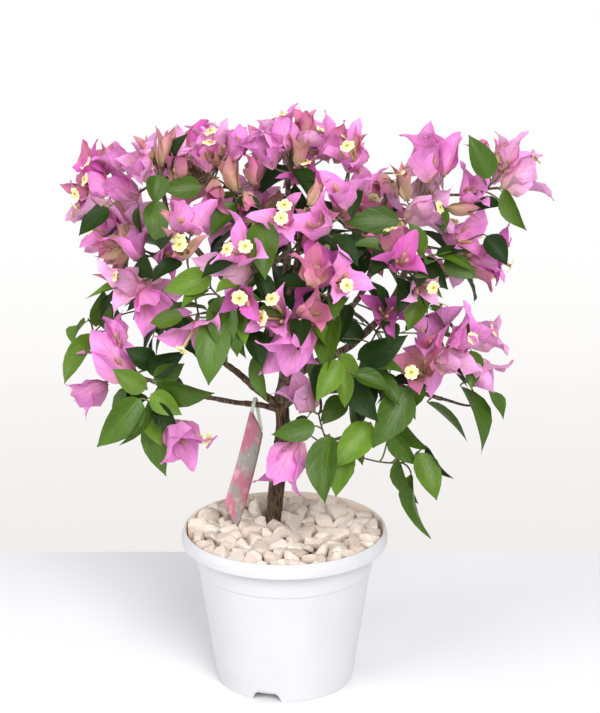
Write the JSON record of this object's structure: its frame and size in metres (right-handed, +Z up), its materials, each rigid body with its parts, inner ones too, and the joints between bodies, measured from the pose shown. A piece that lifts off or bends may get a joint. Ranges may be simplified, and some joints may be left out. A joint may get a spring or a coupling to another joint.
{
  "type": "bougainvillea bush",
  "caption": "Small bougainvillea bush with pink bracts, cream flowers and drooping leaves on a short trunk, in a white plastic pot topped with pebbles, with a hanging label.",
  "frame": {"origin": "middle of the pot's flat underside", "axes": "+Z up, the front of the bush faces -Y, +X to its right as seen from the front"},
  "size_m": [0.351, 0.25, 0.435],
  "materials": {
    "pot": "satin white moulded plastic",
    "soil": "moist potting mix",
    "pebbles": "matt crushed pebbles",
    "bark": "rough grey-brown bark",
    "bloom": "papery pink bracts",
    "flower": "small cream flowers and their tubes",
    "leaves": "satin green leaves",
    "label": "smooth plastic with soft blotches"
  },
  "bodies": {
    "root": {"bloom_at_fork": "bloom", "bloom_back_centre": "bloom", "bloom_back_far_right": "bloom", "bloom_back_left": "bloom", "bloom_back_right": "bloom", "bloom_back_top": "bloom", "bloom_back_top_left": "bloom", "bloom_back_top_right": "bloom", "bloom_by_trunk": "bloom", "bloom_centre": "bloom", "bloom_centre_left": "bloom", "bloom_centre_right": "bloom", "bloom_far_left": "bloom", "bloom_far_right": "bloom", "bloom_hang_left": "bloom", "bloom_inner_left": "bloom", "bloom_inner_right": "bloom", "bloom_left": "bloom", "bloom_left_pocket": "bloom", "bloom_left_waist": "bloom", "bloom_low_centre": "bloom", "bloom_low_left": "bloom", "bloom_low_right": "bloom", "bloom_right": "bloom", "bloom_tip_left": "bloom", "bloom_tip_right": "bloom", "bloom_top": "bloom", "bloom_top_left": "bloom", "bloom_top_right": "bloom", "bloom_under_right": "bloom", "bloom_upper_left": "bloom", "bloom_upper_right": "bloom", "bough_back": "bark", "bough_back_right": "bark", "bough_front": "bark", "bough_leader": "bark", "bough_left": "bark", "bough_low_left": "bark", "bough_right": "bark", "bough_right_low": "bark", "bough_upper_left": "bark", "leaves_back_low": "leaves", "leaves_back_low_left": "leaves", "leaves_back_low_right": "leaves", "leaves_core": "leaves", "leaves_drop_centre": "leaves", "leaves_drop_right": "leaves", "leaves_far_right": "leaves", "leaves_left_centre": "leaves", "leaves_left_edge": "leaves", "leaves_low_left": "leaves", "leaves_right_centre": "leaves", "leaves_right_shoulder": "leaves", "leaves_under_centre": "leaves", "pebbles": "pebbles", "plant_label": "label", "pot": "pot", "soil": "soil", "trunk": "bark"}
  },
  "joints": []
}
